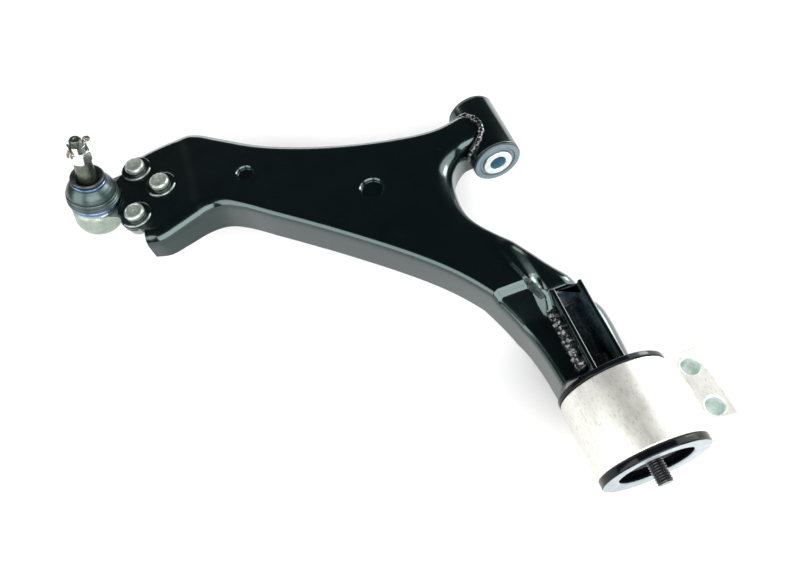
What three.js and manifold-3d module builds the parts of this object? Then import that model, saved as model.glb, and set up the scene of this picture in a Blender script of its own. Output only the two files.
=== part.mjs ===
// Front lower control arm of a car: a pressed steel arm with a clamped-on ball joint at its outer end,
// a rubber bush in a welded tube at its front inner end, and a large bush in an aluminium housing,
// carried on a pin, at its rear inner end. Millimetres, +X towards the car, +Y forwards, +Z up.
import * as THREE from 'three';
import { mergeVertices } from 'three/addons/utils/BufferGeometryUtils.js';
import Module from 'manifold-3d';

const wasm = await Module();
wasm.setup();

// ---- driving dimensions -------------------------------------------------------------------------
const GAP = 0.3; // clearance kept between pieces that touch
const PLATE_Z = 17; // top of the arm's plate
const FLANGE_Z = -18; // lower edge of the arm's flanges
const THICK = 4; // steel thickness of the arm
const LEG_DROP = 16.5; // step down to the rear leg
const LEG_STEP_Y = -122;
const LEG_STEP_RUN = 30;
const LEG_STEP = [[0, 0], [1, 0.4], [5, 7.8], [7, 8.8], [30, 16.5]]; // drop against distance back
const RIB_RISE = 3;
const END_STEP = 2; // joggle down to the ball joint's seat
const FOLD_R = 8;

const FB_R = 21.5; // front bush tube
const FB_LENGTH = 63.6;
const FB_SLEEVE_R = 12.8;
const FB_BORE_R = 7.1;

const RB_X = -5.6; // rear bush axis, parallel to Y
const RB_Z = -3.6;
const RB_R = 40.3;
const RB_FRONT = 216.2; // front and back faces, measured backwards
const RB_BACK = 283.4;
const RB_CAN_R = 31.4;
const CRADLE_R = 12.5;
const CRADLE_WALL = 3.2;
const CRADLE_TOP = 16.5;
const CRADLE_WEB = 3; // wall that closes its front end
const CRADLE_FRONT = -141.7;
const CRADLE_BACK = -213.8;
const PIN_R = 9;
const STUD_TIP = 295;

const EAR_TOP = 27;
const EAR_BOTTOM = -4;
const EAR_END_X = 54;
const EAR_HOLE_R = 6.4;
const EAR_HOLES = [[38.5, -236.3], [38.5, -266.3]];

const BALL_AXIS_TILT = THREE.MathUtils.degToRad(15.5);
const BOOT_SEAT = new THREE.Vector3(-345.3, 100, 16); // middle of the boot's lower ring
const BALL_DROP = 13; // ball centre below the boot seat, along the axis
const BALL_R = 12.5;
const NUT_TURN = 44; // degrees about the stud
const SPLIT_PIN_AT = 64;
const RIVETS = [[-304, 118.6], [-285.1, 90.7], [-311.3, 65.8]];
const BOSS_R = 13.6;
const LOBE_R = 14.2;
const RIVET_R = 5.9;
const DIMPLES = [[-210.9, 69.5, 7.2], [-112, 6, 9.6]]; // blind, pressed into the plate

// ---- mesh helpers ------------------------------------------------------------------------------
function clean(geometry) {
  const g = geometry.clone();
  g.deleteAttribute('normal');
  g.deleteAttribute('uv');
  const m = mergeVertices(g, 1e-4);
  const p = m.attributes.position;
  const at = (i) => new THREE.Vector3().fromBufferAttribute(p, i);
  let tri = [];
  let volume = 0;
  for (let i = 0; i < m.index.count; i += 3) {
    const [a, b, c] = [m.index.getX(i), m.index.getX(i + 1), m.index.getX(i + 2)];
    if (a === b || b === c || c === a) continue;
    tri.push(a, b, c);
    volume += at(a).dot(at(b).cross(at(c)));
  }
  if (volume < 0) {
    tri = tri.map((_, i) => tri[i - (i % 3) + [0, 2, 1][i % 3]]);
  }
  return { vertices: p.array, triangles: tri };
}

function solid(geometry) {
  const { vertices, triangles } = clean(geometry);
  return new wasm.Manifold(new wasm.Mesh({
    numProp: 3,
    vertProperties: Float32Array.from(vertices),
    triVerts: Uint32Array.from(triangles),
  }));
}

function geometryOf(body) {
  const mesh = body.getMesh();
  const g = new THREE.BufferGeometry();
  const step = mesh.numProp;
  const n = mesh.vertProperties.length / step;
  const xyz = new Float32Array(n * 3);
  for (let i = 0; i < n; i += 1) {
    for (let k = 0; k < 3; k += 1) xyz[3 * i + k] = mesh.vertProperties[step * i + k];
  }
  g.setAttribute('position', new THREE.BufferAttribute(xyz, 3));
  g.setIndex(Array.from(mesh.triVerts));
  g.computeVertexNormals();
  return g;
}

// a turned piece about +Z from [radius, height] points
function turned(profile, sides = 40) {
  const points = profile.map(([r, h]) => new THREE.Vector2(r, h));
  return new THREE.LatheGeometry(points, sides).rotateX(Math.PI / 2);
}

function ring(profile, sides = 40) {
  return turned([...profile, profile[0]], sides);
}

function prism(shape, low, high, curveSegments = 10) {
  const options = { depth: high - low, bevelEnabled: false, curveSegments };
  return new THREE.ExtrudeGeometry(shape, options).translate(0, 0, low);
}

function outline(points) {
  return new THREE.Shape(points.map(([x, y]) => new THREE.Vector2(x, y)));
}

function cylinder(x, y, r, low, high, sides = 32) {
  const g = new THREE.CylinderGeometry(r, r, high - low, sides).rotateX(Math.PI / 2);
  return g.translate(x, y, (low + high) / 2);
}

// turned about +Z first, then laid along the bush axis: profile heights become Y
function alongY(geometry, x = 0, z = 0) {
  return geometry.rotateX(-Math.PI / 2).translate(x, 0, z);
}

function onBallAxis(geometry) {
  return geometry.rotateY(BALL_AXIS_TILT).translate(BOOT_SEAT.x, BOOT_SEAT.y, BOOT_SEAT.z);
}

function smooth(t) {
  const c = Math.min(1, Math.max(0, t));
  return c * c * (3 - 2 * c);
}

function ramp(t) {
  return Math.min(1, Math.max(0, t));
}

function between(keys, u) {
  let i = 0;
  while (i < keys.length - 2 && u > keys[i + 1][0]) i += 1;
  const [a, b] = [keys[i], keys[i + 1]];
  return a[1] + (b[1] - a[1]) * ramp((u - a[0]) / (b[0] - a[0]));
}

// ---- pressed arm -------------------------------------------------------------------------------
const NEAR_EDGE = [
  [-309, 36], [-296, 33.5], [-278, 39], [-258, 46], [-241, 46.5], [-224, 37], [-201, 17.5],
  [-150, -27], [-101, -74], [-76, -103], [-57, -133], [-46, -157], [-41, -180], [-38.5, -207],
];
const FAR_EDGE = [
  [-303, 136.4], [-288, 140], [-270, 142.5], [-255, 142.5], [-241, 137], [-224, 124],
  [-191, 99.5], [-157, 81.5], [-123, 67.5], [-89, 57], [-54, 49.5], [-30, 48.5], [-14, 50],
  [-3, 44], [0, 33], [-4, 22], [-14, 17], [-25, 15.5], [-34, 9], [-41, 0], [-45, -13],
  [-47, -27], [-47.5, -40], [-46, -51], [-42.5, -61], [-31.5, -79], [-23.5, -92], [-15.5, -104],
  [-8, -118], [0.8, -131], [8, -141.5], [14.6, -150], [18.8, -157], [20.3, -168],
  [20, -184], [18.6, -207],
];
// which point of the far edge faces which point of the near edge
const FACING = [
  [0, 0], [1, 1], [2, 2], [3, 3.5], [4, 4.5], [5, 5.3], [5.5, 7], [5.8, 9], [6, 11], [6.06, 12],
  [6.12, 13], [6.17, 14], [6.22, 15], [6.3, 16], [6.6, 17], [6.85, 18], [7.15, 19], [7.4, 20],
  [7.62, 21], [7.8, 22], [8, 23], [8.35, 24], [8.8, 25], [9.15, 26], [9.6, 27.3], [10, 28.6],
  [10.5, 30], [11.1, 31.7], [12, 33.6], [13, 35],
];
const NEAR_FOLD = [[0, 11], [3.4, 11], [5.2, FOLD_R], [13, FOLD_R]];
const FAR_FOLD = [[0, FOLD_R], [16, FOLD_R], [18, 13], [19.5, 17], [21, 16], [23, 12], [25, FOLD_R],
  [28, FOLD_R], [30, 11], [32, 14], [35, 14]];
// sides of the rib that carries the plate's height back to the cradle, as [y, x]
const RIB_LEFT = [[-146, -22], [-141, -26.5], [-134.5, -29.8], [-128, -32.4], [-110, -37.2], [-84, -41.5]];
const RIB_RIGHT = [[-146, -17.5], [-133, -19], [-114, -20.5], [-97, -22.5], [-84, -25]];

// the step down comes later between the rib and the far edge, close to the cradle
function legDrop(x, y) {
  const late = smooth((x + 30) / 9);
  const near = between(LEG_STEP, LEG_STEP_Y - 3 - y);
  return near + (LEG_DROP * ramp((LEG_STEP_Y - 17.5 - y) / 18) - near) * late;
}

function plateTop(x, y) {
  let z = PLATE_Z;
  z -= END_STEP * smooth((-252 - x) / 12);
  z += 3.5 * smooth((x + 45) / 35) * smooth((y + 30) / 30);
  z -= legDrop(x, y);
  const sides = smooth((x - between(RIB_LEFT, y)) / 3) * smooth((between(RIB_RIGHT, y) - x) / 10);
  const rib = sides * smooth((-80 - y) / 16) * smooth((y + 145.5) / 8);
  return z + (PLATE_Z + RIB_RISE - z) * rib;
}

function flangeBottom(x, y) {
  return FLANGE_Z + 7 * ramp((-240 - x) / 70) - LEG_DROP * ramp((LEG_STEP_Y - y) / LEG_STEP_RUN);
}

function edgeCurve(points) {
  const v = points.map(([x, y]) => new THREE.Vector3(x, y, 0));
  const curve = new THREE.CatmullRomCurve3(v, false, 'centripetal');
  const last = points.length - 1;
  return (index) => {
    const u = Math.min(1, Math.max(0, index / last));
    return { p: curve.getPoint(u), t: curve.getTangent(u) };
  };
}

// One cross-section: down-turned flange, fold, plate, fold, flange. depth is 0 on the outside.
function section(near, far, folds, depth, plateSteps) {
  const foldSteps = 3;
  const rows = [];
  const sides = [
    { at: near.p, out: new THREE.Vector3(near.t.y, -near.t.x, 0), r: folds[0] },
    { at: far.p, out: new THREE.Vector3(-far.t.y, far.t.x, 0), r: folds[1] },
  ];
  const flanges = sides.map(({ at, out, r }) => {
    const start = at.clone().addScaledVector(out, -r);
    const top = plateTop(start.x, start.y);
    const list = [];
    const edge = at.clone().addScaledVector(out, -depth);
    list.push([edge.x, edge.y, flangeBottom(at.x, at.y)]);
    for (let i = 0; i <= foldSteps; i += 1) {
      const a = (Math.PI / 2) * (i / foldSteps);
      const q = start.clone().addScaledVector(out, (r - depth) * Math.cos(a));
      list.push([q.x, q.y, top - r + (r - depth) * Math.sin(a)]);
    }
    return { list, start };
  });
  rows.push(...flanges[0].list);
  for (let i = 1; i < plateSteps; i += 1) {
    const q = flanges[0].start.clone().lerp(flanges[1].start, i / plateSteps);
    rows.push([q.x, q.y, plateTop(q.x, q.y) - depth]);
  }
  rows.push(...flanges[1].list.reverse());
  return rows;
}

function pressedArm(stationsPerSpan, plateSteps) {
  const nearAt = edgeCurve(NEAR_EDGE);
  const farAt = edgeCurve(FAR_EDGE);
  const outer = [];
  const inner = [];
  FACING.slice(0, -1).forEach((from, k) => {
    const to = FACING[k + 1];
    const dense = from[0] > 9 && from[0] < 10.2 ? 4 : 1;
    const span = to[0] - from[0] + 0.45 * (to[1] - from[1]);
    const steps = Math.max(1, Math.round(stationsPerSpan * dense * span));
    for (let i = 0; i < steps + (k === FACING.length - 2 ? 1 : 0); i += 1) {
      const [u, v] = [0, 1].map((side) => from[side] + (to[side] - from[side]) * (i / steps));
      const folds = [between(NEAR_FOLD, u), between(FAR_FOLD, v)];
      outer.push(section(nearAt(u), farAt(v), folds, 0, plateSteps));
      inner.push(section(nearAt(u), farAt(v), folds, THICK, plateSteps));
    }
  });
  const across = outer[0].length;
  const count = outer.length;
  const xyz = [...outer.flat(2), ...inner.flat(2)];
  const id = (skin, s, j) => skin * count * across + s * across + j;
  const tri = [];
  const quad = (a, b, c, d) => tri.push(a, b, c, a, c, d);
  for (let s = 0; s < count - 1; s += 1) {
    for (let j = 0; j < across - 1; j += 1) {
      quad(id(0, s, j), id(0, s + 1, j), id(0, s + 1, j + 1), id(0, s, j + 1));
      quad(id(1, s, j), id(1, s, j + 1), id(1, s + 1, j + 1), id(1, s + 1, j));
    }
    quad(id(0, s, 0), id(1, s, 0), id(1, s + 1, 0), id(0, s + 1, 0));
    const e = across - 1;
    quad(id(0, s, e), id(0, s + 1, e), id(1, s + 1, e), id(1, s, e));
  }
  for (let j = 0; j < across - 1; j += 1) {
    quad(id(0, 0, j), id(0, 0, j + 1), id(1, 0, j + 1), id(1, 0, j));
    const e = count - 1;
    quad(id(0, e, j), id(1, e, j), id(1, e, j + 1), id(0, e, j + 1));
  }
  const g = new THREE.BufferGeometry();
  g.setAttribute('position', new THREE.Float32BufferAttribute(xyz, 3));
  g.setIndex(tri);
  return g;
}

// lobed tongue that carries the ball joint, with a raised boss round each rivet
function tongue() {
  const top = PLATE_Z - END_STEP;
  const web = outline([[-297, 131], [-304, 132.4], [-327, 110], [-327, 74], [-313, 51.7],
    [-309.5, 48.5], [-297, 48.5]]);
  let body = solid(prism(web, top - THICK, top));
  for (const [x, y] of [RIVETS[0], RIVETS[2]]) {
    body = body.add(solid(cylinder(x, y, LOBE_R, top - THICK, top)));
  }
  for (const [x, y] of RIVETS) {
    body = body.add(solid(cylinder(x, y, BOSS_R, top - THICK / 2, top + 1.8)));
  }
  const joint = onBallAxis(cylinder(0, 0, 23.6, -40, 40, 40));
  return body.subtract(solid(joint));
}

function weldBead(points, r) {
  const path = new THREE.CatmullRomCurve3(points.map((p) => new THREE.Vector3(...p)));
  const circle = new THREE.Shape().absarc(0, 0, r, 0, 2 * Math.PI);
  const options = { steps: 14, extrudePath: path, curveSegments: 3, bevelEnabled: false };
  return new THREE.ExtrudeGeometry(circle, options);
}

function armShell() {
  let arm = solid(pressedArm(1.05, 10)).add(tongue());
  // weld round the front tube, along the coped end of the arm
  const seam = [[64, 49], [45, 48.5], [28, 44], [17, 37], [13, 29], [17, 21], [30, 15], [48, 12],
    [70, 12], [92, 13]];
  const bead = seam.map(([turn, y]) => {
    const a = THREE.MathUtils.degToRad(turn);
    return [-(FB_R + 0.6) * Math.sin(a), y, (FB_R + 0.6) * Math.cos(a)];
  });
  arm = arm.add(solid(weldBead(bead, 2.4)));
  // welds along both walls of the cradle
  const leg = PLATE_Z - LEG_DROP;
  for (const side of [-1, 1]) {
    const x = RB_X + side * (CRADLE_R + 0.4);
    const wedge = new THREE.Shape();
    wedge.moveTo(x - side * 1, leg - 2);
    wedge.lineTo(x + side * 5.2, leg - 2);
    wedge.quadraticCurveTo(x + side * 3.4, leg + 3.6, x, leg + 5);
    wedge.lineTo(x - side * 1, leg + 5);
    const run = new THREE.ExtrudeGeometry(wedge, { depth: 58, bevelEnabled: false, curveSegments: 5 });
    arm = arm.add(solid(run.rotateX(Math.PI / 2).translate(0, -148, 0)));
  }
  arm = arm.subtract(solid(alongY(cylinder(0, 0, FB_R + GAP, -10, 75, 48))));
  const slot = new THREE.BoxGeometry(2 * (CRADLE_R + GAP), 90, 60);
  arm = arm.subtract(solid(slot.translate(RB_X, CRADLE_FRONT + GAP - 45, 13)));
  for (const [x, y] of RIVETS) arm = arm.subtract(solid(cylinder(x, y, RIVET_R + GAP, 0, 40, 20)));
  for (const [x, y, r] of DIMPLES) {
    arm = arm.add(solid(cylinder(x, y, r + 2.5, PLATE_Z - 7, PLATE_Z - 1, 24)));
    arm = arm.subtract(solid(cylinder(x, y, r, PLATE_Z - 3.6, 40, 24)));
  }
  return arm;
}

// ---- front bush --------------------------------------------------------------------------------
const frontTube = ring([[18, 2.5], [FB_R, 2.5], [FB_R, 61.1], [18, 61.1]], 40);
const frontCan = ring([[15.9, 2.5], [17.7, 2.5], [17.7, 61.1], [15.9, 61.1]], 28);
const frontRubber = ring([
  [FB_SLEEVE_R + GAP, 0.2], [20.6, 0.2], [21.3, 0.9], [21.3, 2.1], [15.6, 2.1],
  [15.6, FB_LENGTH - 2.1], [21.3, FB_LENGTH - 2.1], [21.3, FB_LENGTH - 0.9],
  [20.6, FB_LENGTH - 0.2], [FB_SLEEVE_R + GAP, FB_LENGTH - 0.2],
], 32);
const frontSleeve = ring([
  [FB_BORE_R, -1], [FB_SLEEVE_R, -1], [FB_SLEEVE_R, FB_LENGTH + 1], [FB_BORE_R, FB_LENGTH + 1],
], 32);

// ---- rear pin, bush and housing ----------------------------------------------------------------
// all turned about the pin's axis; heights are distances towards the back of the car
function trough(r, top, from, to) {
  const u = new THREE.Shape();
  u.moveTo(-r, top);
  u.lineTo(-r, 0);
  u.absarc(0, 0, r, Math.PI, 2 * Math.PI, false);
  u.lineTo(r, top);
  const g = new THREE.ExtrudeGeometry(u, { depth: to - from, bevelEnabled: false, curveSegments: 12 });
  return solid(alongYBack(g.translate(0, 0, from)));
}

function cradle() {
  const top = CRADLE_TOP - RB_Z;
  const r = CRADLE_R - CRADLE_WALL;
  const body = trough(CRADLE_R, top, -CRADLE_FRONT, -CRADLE_BACK);
  const notch = new THREE.BoxGeometry(2 * r, 20, 20).translate(RB_X, CRADLE_FRONT, PLATE_Z - THICK + 9.5);
  const inside = trough(r, top + 5, CRADLE_WEB - CRADLE_FRONT, 5 - CRADLE_BACK);
  return body.subtract(inside).subtract(solid(notch));
}

function pinProfile() {
  const front = RB_FRONT - 1.8;
  const p = [[0, front - 17], [PIN_R - 1, front - 17], [PIN_R, front - 16], [PIN_R, front], [15, front],
    [15, front + 3.1], [7, front + 3.1], [7, 256], [5.2, 257]];
  for (let y = 272; y < STUD_TIP - 1.4; y += 1.75) p.push([5.1, y], [5.95, y + 0.875]);
  p.push([5, STUD_TIP], [0, STUD_TIP]);
  return p;
}

const rearFrontFlange = ring([
  [19, RB_FRONT], [RB_R - 0.4, RB_FRONT], [RB_R + 0.4, RB_FRONT + 0.8],
  [RB_R + 0.4, RB_FRONT + 4.2], [19, RB_FRONT + 4.2],
], 44);
const rearCan = ring([
  [RB_CAN_R - 2, RB_FRONT + 5], [RB_CAN_R, RB_FRONT + 5], [RB_CAN_R, RB_BACK - 5.6],
  [RB_R - 1.2, RB_BACK - 5.6], [RB_R - 0.4, RB_BACK - 4.8], [RB_R - 0.4, RB_BACK - 0.8],
  [RB_R - 1.2, RB_BACK], [28.2, RB_BACK - 0.4], [27, RB_BACK - 1.4], [27.2, RB_BACK - 3],
  [RB_CAN_R - 2, RB_BACK - 4.6],
], 44);
const rearRubber = ring([
  [13.3, 221.8], [17, 221.8], [22, 228], [27, 221.8], [RB_CAN_R - 2.3, 222.2],
  [RB_CAN_R - 2.3, 275], [27.6, 275.4], [23.5, 264], [17.5, 259.4], [13.3, 257.6],
], 28);
const rearSleeve = ring([[7.3, 217.8], [13, 217.8], [13, 258.2], [7.3, 258.2]], 24);

function hexNut(acrossFlats, low, high, bore, sides = 6) {
  const body = cylinder(0, 0, acrossFlats / Math.sqrt(3), low, high, sides);
  return solid(body).subtract(solid(cylinder(0, 0, bore, low - 1, high + 1, 24)));
}

function rearNut() {
  const flange = ring([[6.3, 258.5], [12.4, 258.5], [12.4, 260], [10.5, 261.8], [6.3, 261.8]], 24);
  return hexNut(18, 261, 271, 6.3).add(solid(flange));
}

function rearHousing() {
  const block = new THREE.Shape();
  block.moveTo(RB_X + 10, EAR_TOP);
  block.lineTo(EAR_END_X - 6, EAR_TOP);
  block.quadraticCurveTo(EAR_END_X, EAR_TOP, EAR_END_X, EAR_TOP - 6);
  block.lineTo(EAR_END_X, EAR_BOTTOM + 6);
  block.quadraticCurveTo(EAR_END_X, EAR_BOTTOM, EAR_END_X - 6, EAR_BOTTOM);
  block.lineTo(RB_X + 10, EAR_BOTTOM);
  const ear = new THREE.ExtrudeGeometry(block, { depth: 52, bevelEnabled: false, curveSegments: 5 });
  const [front, back] = [RB_FRONT + 4.5, RB_BACK - 5.9];
  const barrel = turned([[0, front], [RB_R - 0.8, front], [RB_R, front + 0.8], [RB_R - 0.4, back - 0.8],
    [RB_R - 1.2, back], [0, back]], 48);
  let body = solid(alongYBack(barrel)).add(solid(ear.rotateX(Math.PI / 2).translate(0, -224.6, 0)));
  body = body.subtract(solid(alongYBack(cylinder(0, 0, RB_CAN_R + GAP, 200, 300, 44))));
  for (const [x, y] of EAR_HOLES) {
    body = body.subtract(solid(cylinder(x, y, EAR_HOLE_R, -40, 60, 24)));
  }
  return body;
}

function alongYBack(geometry) {
  return geometry.rotateX(Math.PI / 2).translate(RB_X, 0, RB_Z);
}

// ---- ball joint, drawn along its own axis from the boot's lower ring --------------------------
function ballHousing() {
  const cup = onBallAxis(turned([[0, -29.4], [16, -29.4], [18.8, -27.5], [20.7, -22], [20.7, -7],
    [19.6, -4.6], [19.3, 1.5], [18.6, 2.2], [0, 2.2]], 32));
  const lug = (x, y, r) => solid(cylinder(x, y, r, 3.7, 10.7, 24));
  const web = outline([[-345, 120], [-304, 125], [-296, 122], [-275, 98], [-276, 81], [-305, 55],
    [-318, 56.5], [-324, 66], [-329, 75], [-337, 79], [-345, 80]]);
  let flange = solid(prism(web, 3.7, 10.7));
  RIVETS.forEach(([x, y], i) => {
    flange = flange.add(lug(x, y, i === 0 ? 10 : 12.4));
  });
  flange = flange.subtract(solid(onBallAxis(cylinder(0, 0, 23, -3, 40, 32))));
  let body = flange.add(solid(cup));
  const hollow = onBallAxis(turned([[0, -30], [15.6, -30], [15.6, -26.6], [15.3, -26.6],
    [15.3, -6.2], [13.3, -1.5], [13.3, 3], [0, 3]], 28));
  body = body.subtract(solid(hollow));
  for (const [x, y] of RIVETS) body = body.subtract(solid(cylinder(x, y, RIVET_R + GAP, 0, 20, 20)));
  return body;
}

// arc of a circle about the ball's centre, as [radius, height] points, angles from straight down
function ballArc(r, from, to, steps) {
  return Array.from({ length: steps + 1 }, (_, i) => {
    const a = THREE.MathUtils.degToRad(from + ((to - from) * i) / steps);
    return [r * Math.sin(a), -BALL_DROP - r * Math.cos(a)];
  });
}

const seatOuter = ballArc(14.9, 44, 128, 4);
const ballSeat = onBallAxis(ring([...ballArc(BALL_R + GAP + 0.3, 44, 128, 4), ...seatOuter.reverse()], 20));
const endCap = onBallAxis(turned([[0, -28.9], [14.2, -28.9], [15.2, -28.2], [15.2, -27], [0, -27]], 28));
const ballStud = onBallAxis(turned([
  [0, -BALL_DROP - 11.3], ...ballArc(BALL_R, 26, 150, 8), [5.8, 0.5], [6.4, 12], [8.2, 20],
  [8.2, 26], [7.4, 48], [6.9, 48.6], [4.95, 48.6], [4.95, 70.8], [4.2, 72], [0, 72],
], 24));
const bootLower = onBallAxis(ring([
  [19.2, 3.5], [21.7, 3.5], [22.2, 4.5], [22.2, 5.4], [21.2, 6.1], [22, 6.9], [22, 8.2], [20.9, 9],
  [21.5, 9.9], [21.3, 12.2], [19.6, 12.2], [19, 6],
], 28));
const bootUpper = onBallAxis(ring([
  [19.5, 12.5], [21.1, 12.5], [20.4, 14.6], [18.9, 17.6], [16.8, 20.6], [14.8, 22.9], [13.2, 23.1],
  [13.2, 26.5], [14, 27.3], [14.3, 28.6], [13.5, 29.8], [12.4, 29.8], [11.4, 27.4], [9, 26.2],
  [9, 22.6], [14.6, 19.4], [17.9, 15.8],
], 28));
const lowerRing = onBallAxis(ring([[19.6, -0.8], [21.5, -0.8], [22, -0.3], [22, 2.7], [21.5, 3.2],
  [19.6, 3.2]], 32));
const upperRing = onBallAxis(ring([[13.5, 23.4], [14.3, 23.4], [14.9, 24], [14.9, 25.6],
  [14.3, 26.2], [13.5, 26.2]], 28));

function castleNut() {
  const [low, top, crown] = [49, 59.5, 67.5];
  let nut = hexNut(16, low, top, 5.25);
  nut = nut.add(solid(ring([[5.25, top - 1], [7.6, top - 1], [7.6, crown - 0.6], [7, crown],
    [5.25, crown]], 24)));
  for (let k = 0; k < 3; k += 1) {
    const slot = new THREE.BoxGeometry(22, 3.6, 8).translate(0, 0, crown - 3).rotateZ((k * Math.PI) / 3);
    nut = nut.subtract(solid(slot));
  }
  return nut.rotate([0, 0, NUT_TURN]);
}

// split pin through the stud and one pair of slots, its ends bent along the nut
function splitPin() {
  const r = 1.25;
  const at = SPLIT_PIN_AT;
  const bend = [[-9.4, 0, at], [-6, 0, at], [0, 0, at], [7.6, 0, at], [9.7, 0.3, at - 1.9],
    [9.8, 0.5, at - 6]];
  const pin = solid(weldBead(bend, r));
  const eye = new THREE.TorusGeometry(1.7, 1.25, 6, 14).rotateX(Math.PI / 2).translate(-10.7, 0, at);
  return pin.add(solid(eye)).rotate([0, 0, 180 + NUT_TURN]);
}

const SPLIT_HOLE = new THREE.CylinderGeometry(1.6, 1.6, 24, 16).rotateZ(Math.PI / 2 + NUT_TURN * Math.PI / 180);

function rivet([x, y]) {
  const profile = [[0, -1.2], [6.5, -1.2], [8.6, 0.6], [8.6, 3.4], [RIVET_R, 3.4],
    [RIVET_R, 17.1], [8.7, 17.1], [8.7, 21.2], [7.9, 22.2], [0, 22.4]];
  return turned(profile, 24).translate(x, y, 0);
}

// ---- materials and assembly ---------------------------------------------------------------------
function steel(color, roughness, metalness) {
  return new THREE.MeshStandardMaterial({ color, roughness, metalness });
}

const BLACK = [0x0d1211, 0.22, 0.2];
const RUBBER = [0x15171a, 0.6, 0];
const SILVER = [0xb9bcb8, 0.38, 0.9];
const ZINC = [0xc9ccc4, 0.3, 0.9];

const spinAxis = (g) => onBallAxis(g);
const stud = solid(ballStud).subtract(solid(spinAxis(SPLIT_HOLE.translate(0, 0, SPLIT_PIN_AT))));
const nutOnAxis = geometryOf(castleNut());
const pinOnAxis = geometryOf(splitPin());

const pieces = [
  ['arm_shell', geometryOf(armShell()), BLACK],
  ['front_bush_tube', alongY(frontTube), BLACK],
  ['front_bush_can', alongY(frontCan), [0x2a2d30, 0.45, 0.8]],
  ['front_bush_rubber', alongY(frontRubber), [0x6f7d85, 0.5, 0]],
  ['front_bush_sleeve', alongY(frontSleeve), ZINC],
  ['rear_pin_cradle', geometryOf(cradle()), BLACK],
  ['rear_pin', alongYBack(turned(pinProfile(), 18)), [0x101112, 0.35, 0.6]],
  ['rear_bush_front_flange', alongYBack(rearFrontFlange), BLACK],
  ['rear_bush_can', alongYBack(rearCan), [0x0b0d0e, 0.3, 0.3]],
  ['rear_bush_rubber', alongYBack(rearRubber), RUBBER],
  ['rear_bush_sleeve', alongYBack(rearSleeve), [0x55585a, 0.4, 0.8]],
  ['rear_housing', geometryOf(rearHousing()), [0xe9eae4, 0.42, 0.85]],
  ['rear_nut', alongYBack(geometryOf(rearNut())), [0x1a1b1c, 0.4, 0.6]],
  ['ball_housing', geometryOf(ballHousing()), SILVER],
  ['ball_end_cap', endCap, SILVER],
  ['ball_seat', ballSeat, [0xd8d4c4, 0.5, 0]],
  ['ball_stud', geometryOf(stud), [0x9a9c94, 0.35, 0.9]],
  ['boot_lower', bootLower, [0x7c8582, 0.4, 0]],
  ['boot_upper', bootUpper, [0x7c8582, 0.4, 0]],
  ['boot_lower_ring', lowerRing, [0x8fb2d8, 0.25, 0.9]],
  ['boot_upper_ring', upperRing, [0x9fc0e4, 0.25, 0.9]],
  ['castle_nut', spinAxis(nutOnAxis), ZINC],
  ['split_pin', spinAxis(pinOnAxis), [0x6b6a78, 0.4, 0.9]],
  ...RIVETS.map((at, i) => [`rivet_${i + 1}`, rivet(at), [0xd2d2cb, 0.35, 0.8]]),
];

const group = new THREE.Group();
for (const [name, geometry, [color, roughness, metalness]] of pieces) {
  const { vertices, triangles } = clean(geometry);
  const g = new THREE.BufferGeometry();
  g.setAttribute('position', new THREE.Float32BufferAttribute(vertices, 3));
  g.setIndex(triangles);
  g.computeVertexNormals();
  const mesh = new THREE.Mesh(g, steel(color, roughness, metalness));
  mesh.name = name;
  group.add(mesh);
}

// the row's origin is the middle of the box's bottom
const box = new THREE.Box3().setFromObject(group);
const shift = box.getCenter(new THREE.Vector3()).setZ(box.min.z).negate();
for (const mesh of group.children) mesh.geometry.translate(shift.x, shift.y, shift.z);

export default group;
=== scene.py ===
"""Looks of a pressed-steel lower control arm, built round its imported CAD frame. Metres, +Z up."""
import math

import bmesh
import bpy
import numpy as np
from mathutils import Matrix, Vector, noise


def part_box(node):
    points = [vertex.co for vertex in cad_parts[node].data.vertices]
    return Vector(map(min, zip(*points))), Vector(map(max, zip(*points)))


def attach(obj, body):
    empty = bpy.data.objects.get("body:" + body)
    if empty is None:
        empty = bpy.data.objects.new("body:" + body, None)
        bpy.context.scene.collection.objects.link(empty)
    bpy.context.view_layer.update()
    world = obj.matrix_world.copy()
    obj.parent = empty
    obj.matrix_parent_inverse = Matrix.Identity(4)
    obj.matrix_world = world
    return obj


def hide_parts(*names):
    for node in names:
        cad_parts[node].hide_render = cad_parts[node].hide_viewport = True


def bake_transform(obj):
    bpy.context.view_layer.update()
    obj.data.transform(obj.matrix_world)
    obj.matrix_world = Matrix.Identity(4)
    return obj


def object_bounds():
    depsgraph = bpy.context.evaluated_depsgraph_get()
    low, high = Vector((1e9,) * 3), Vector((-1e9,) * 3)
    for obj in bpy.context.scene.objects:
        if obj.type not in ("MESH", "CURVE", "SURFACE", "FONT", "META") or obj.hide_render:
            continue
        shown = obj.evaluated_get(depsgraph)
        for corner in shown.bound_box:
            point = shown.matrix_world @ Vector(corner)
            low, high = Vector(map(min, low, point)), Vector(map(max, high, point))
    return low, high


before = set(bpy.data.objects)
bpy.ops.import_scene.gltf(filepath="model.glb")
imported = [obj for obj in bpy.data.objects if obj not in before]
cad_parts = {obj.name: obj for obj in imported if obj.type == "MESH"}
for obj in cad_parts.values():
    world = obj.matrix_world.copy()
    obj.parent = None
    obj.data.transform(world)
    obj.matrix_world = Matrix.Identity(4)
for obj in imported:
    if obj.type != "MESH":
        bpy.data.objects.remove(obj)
CAD_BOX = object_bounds()

# ---- places, all in millimetres from the centre of the front bush's near face --------------------
MM = 0.001
GAP = 0.3  # air between two pieces
FB_START, FB_END = 2.5, 61.1  # ends of the front tube along the bush
TUBE_LOW, TUBE_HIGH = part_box("front_bush_tube")
ORIGIN = Vector(((TUBE_LOW.x + TUBE_HIGH.x) / 2, TUBE_LOW.y - FB_START * MM, (TUBE_LOW.z + TUBE_HIGH.z) / 2))
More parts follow.
